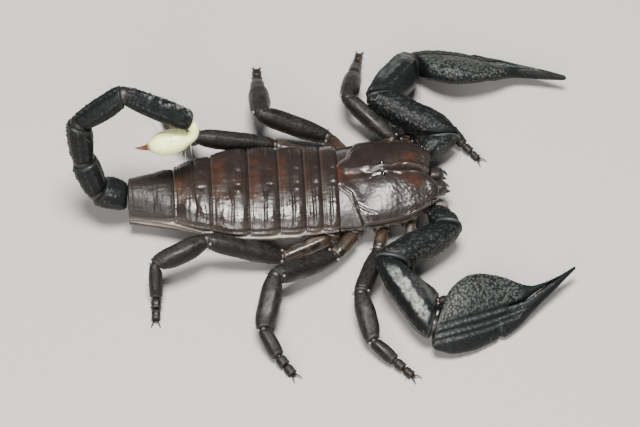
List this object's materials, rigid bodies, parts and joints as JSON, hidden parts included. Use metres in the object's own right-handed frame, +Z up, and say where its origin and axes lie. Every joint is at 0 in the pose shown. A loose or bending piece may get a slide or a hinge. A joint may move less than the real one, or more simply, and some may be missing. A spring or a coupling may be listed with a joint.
{
  "type": "tree creeper scorpion",
  "caption": "Life-size still model of a dark flat-bodied scorpion with arched tail, cream telson, broad flat claws and walking legs in a natural stance.",
  "frame": {"origin": "the middle of the animal's box at floor level, under the trunk", "axes": "+X towards the head, +Y to the animal's left, +Z up from the floor"},
  "size_m": [0.0638, 0.0532, 0.0204],
  "materials": {
    "black_shell": "granular green-black cuticle, satin",
    "brown_shell": "smooth dark brown cuticle, glossy",
    "membrane": "soft grey-brown membrane, satin",
    "coxa_brown": "translucent brown cuticle",
    "pale_telson": "waxy cream-yellow cuticle",
    "eye": "polished black"
  },
  "bodies": {
    "root": {"abdomen": "membrane", "carapace": "brown_shell", "chelicera_left": "brown_shell", "chelicera_right": "brown_shell", "coxae_left": "coxa_brown", "coxae_right": "coxa_brown", "genital_operculum": "coxa_brown", "leg_1_left_lower": "black_shell", "leg_1_left_upper": "black_shell", "leg_1_right_lower": "black_shell", "leg_1_right_upper": "black_shell", "leg_2_left_lower": "black_shell", "leg_2_left_upper": "black_shell", "leg_2_right_lower": "black_shell", "leg_2_right_upper": "black_shell", "leg_3_left_lower": "black_shell", "leg_3_left_upper": "black_shell", "leg_3_right_lower": "black_shell", "leg_3_right_upper": "black_shell", "leg_4_left_lower": "black_shell", "leg_4_left_upper": "black_shell", "leg_4_right_lower": "black_shell", "leg_4_right_upper": "black_shell", "median_eye_left": "eye", "median_eye_right": "eye", "metasoma_1": "black_shell", "metasoma_2": "black_shell", "metasoma_3": "black_shell", "metasoma_4": "black_shell", "metasoma_5": "black_shell", "pectine_left": "membrane", "pectine_right": "membrane", "pedipalp_left_femur": "black_shell", "pedipalp_left_hand": "black_shell", "pedipalp_left_movable_finger": "black_shell", "pedipalp_left_patella": "black_shell", "pedipalp_left_trochanter": "black_shell", "pedipalp_right_femur": "black_shell", "pedipalp_right_hand": "black_shell", "pedipalp_right_movable_finger": "black_shell", "pedipalp_right_patella": "black_shell", "pedipalp_right_trochanter": "black_shell", "sternite_3": "brown_shell", "sternite_4": "brown_shell", "sternite_5": "brown_shell", "sternite_6": "brown_shell", "sternite_7": "brown_shell", "sternum": "coxa_brown", "telson": "pale_telson", "tergite_1": "brown_shell", "tergite_2": "brown_shell", "tergite_3": "brown_shell", "tergite_4": "brown_shell", "tergite_5": "brown_shell", "tergite_6": "brown_shell", "tergite_7": "brown_shell"}
  },
  "joints": []
}
